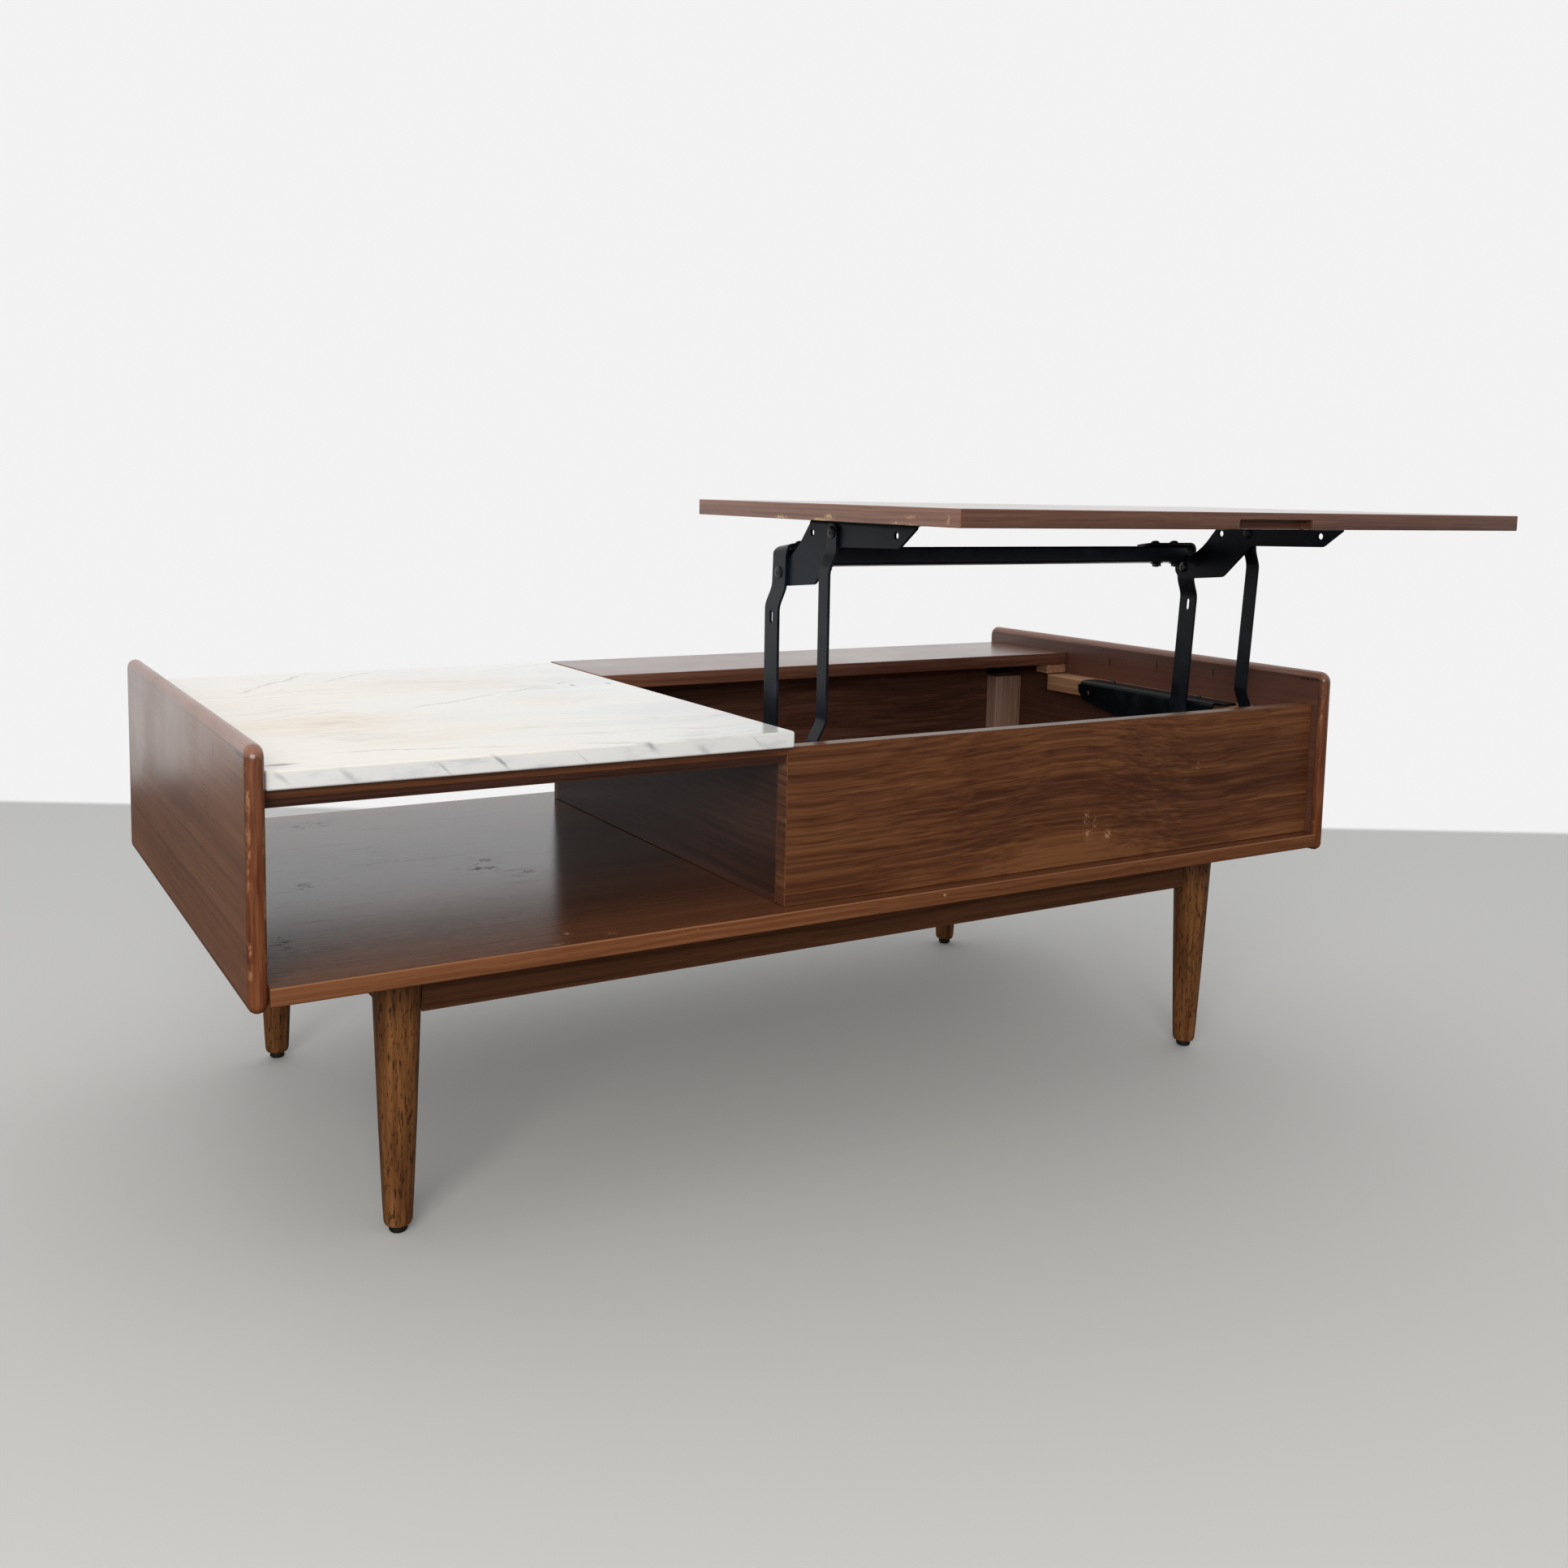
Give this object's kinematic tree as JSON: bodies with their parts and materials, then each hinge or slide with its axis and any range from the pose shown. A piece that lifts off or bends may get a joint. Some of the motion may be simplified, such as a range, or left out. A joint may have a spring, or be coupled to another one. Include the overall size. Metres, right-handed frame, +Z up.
{
  "type": "lift top coffee table",
  "caption": "Rectangular coffee table with a fixed marble top over an open shelf, beside a storage box whose wooden top lifts up and forward on a linkage; round tapered legs.",
  "frame": {"origin": "on the floor, under the middle of the whole table's bounding box with its top raised", "axes": "+X to the viewer's right along the table's length, from the marble end to the storage box end; the front faces -Y; +Z up"},
  "size_m": [1.218, 0.8292, 0.6357],
  "materials": {
    "walnut_veneer": "satin walnut veneer",
    "walnut_edge": "satin stained wood",
    "walnut_inner": "dark stained wood",
    "marble": "polished white marble with grey veins",
    "raw_wood": "raw softwood",
    "leg_wood": "satin walnut stain",
    "black_steel": "satin black",
    "black_plastic": "matt"
  },
  "bodies": {
    "table": {"end_panel_left": "walnut_veneer", "end_panel_right": "walnut_veneer", "bottom_board": "walnut_veneer", "divider": "walnut_veneer", "box_front": "walnut_veneer", "rear_strip": "walnut_veneer", "packing_board": "walnut_edge", "rail_front": "walnut_edge", "rail_back": "walnut_edge", "rail_left": "walnut_edge", "rail_right": "walnut_edge", "box_back": "walnut_inner", "sub_top_board": "walnut_inner", "marble_top": "marble", "cleat_left": "raw_wood", "cleat_right": "raw_wood", "strip_block_left": "raw_wood", "strip_block_right": "raw_wood", "corner_post_left": "raw_wood", "corner_post_right": "raw_wood", "leg_front_left": "leg_wood", "leg_front_right": "leg_wood", "leg_back_left": "leg_wood", "leg_back_right": "leg_wood", "base_plate_left": "black_steel", "base_plate_right": "black_steel", "corner_brace": "black_steel", "rear_base_pin_left": "black_steel", "rear_base_pin_right": "black_steel", "front_base_pin_left": "black_steel", "front_base_pin_right": "black_steel", "plate_screw_left_front": "black_steel", "plate_screw_left_rear": "black_steel", "plate_screw_right_front": "black_steel", "plate_screw_right_rear": "black_steel", "glide_front_left": "black_plastic", "glide_front_right": "black_plastic", "glide_back_left": "black_plastic", "glide_back_right": "black_plastic"},
    "rear_linkage": {"rear_arm_left": "black_steel", "rear_arm_right": "black_steel", "cross_bar": "black_steel", "bar_bolt_left_inner": "black_steel", "bar_bolt_left_outer": "black_steel", "bar_bolt_right_inner": "black_steel", "bar_bolt_right_outer": "black_steel"},
    "lift_top": {"lift_panel": "walnut_veneer", "top_bracket_left": "black_steel", "top_bracket_right": "black_steel", "rear_top_pin_left": "black_steel", "rear_top_pin_right": "black_steel", "front_top_pin_left": "black_steel", "front_top_pin_right": "black_steel"},
    "front_arm_left": {"front_arm_left": "black_steel"},
    "front_arm_right": {"front_arm_right": "black_steel"}
  },
  "joints": [
    {"name": "rear_arm_swing", "type": "hinge", "parent": "table", "child": "rear_linkage", "pos_m": [0.24315, -0.02117, 0.33876], "axis": [-1, 0, 0], "range_deg": [0, 88.15]},
    {"name": "lift_top_level", "type": "hinge", "parent": "rear_linkage", "child": "lift_top", "pos_m": [0.24315, -0.029, 0.563], "axis": [-1, 0, 0], "range_deg": [-89.15, 1]},
    {"name": "front_arm_swing_left", "type": "hinge", "parent": "table", "child": "front_arm_left", "pos_m": [-0.053, -0.11767, 0.38326], "axis": [-1, 0, 0], "range_deg": [-1, 89.15]},
    {"name": "front_arm_swing_right", "type": "hinge", "parent": "table", "child": "front_arm_right", "pos_m": [0.5393, -0.11767, 0.38326], "axis": [-1, 0, 0], "range_deg": [-1, 89.15]}
  ],
  "couplings": [
    {"joint": "lift_top_level", "follows": "rear_arm_swing", "ratio": -1},
    {"joint": "front_arm_swing_left", "follows": "rear_arm_swing", "ratio": 1},
    {"joint": "front_arm_swing_right", "follows": "rear_arm_swing", "ratio": 1}
  ]
}
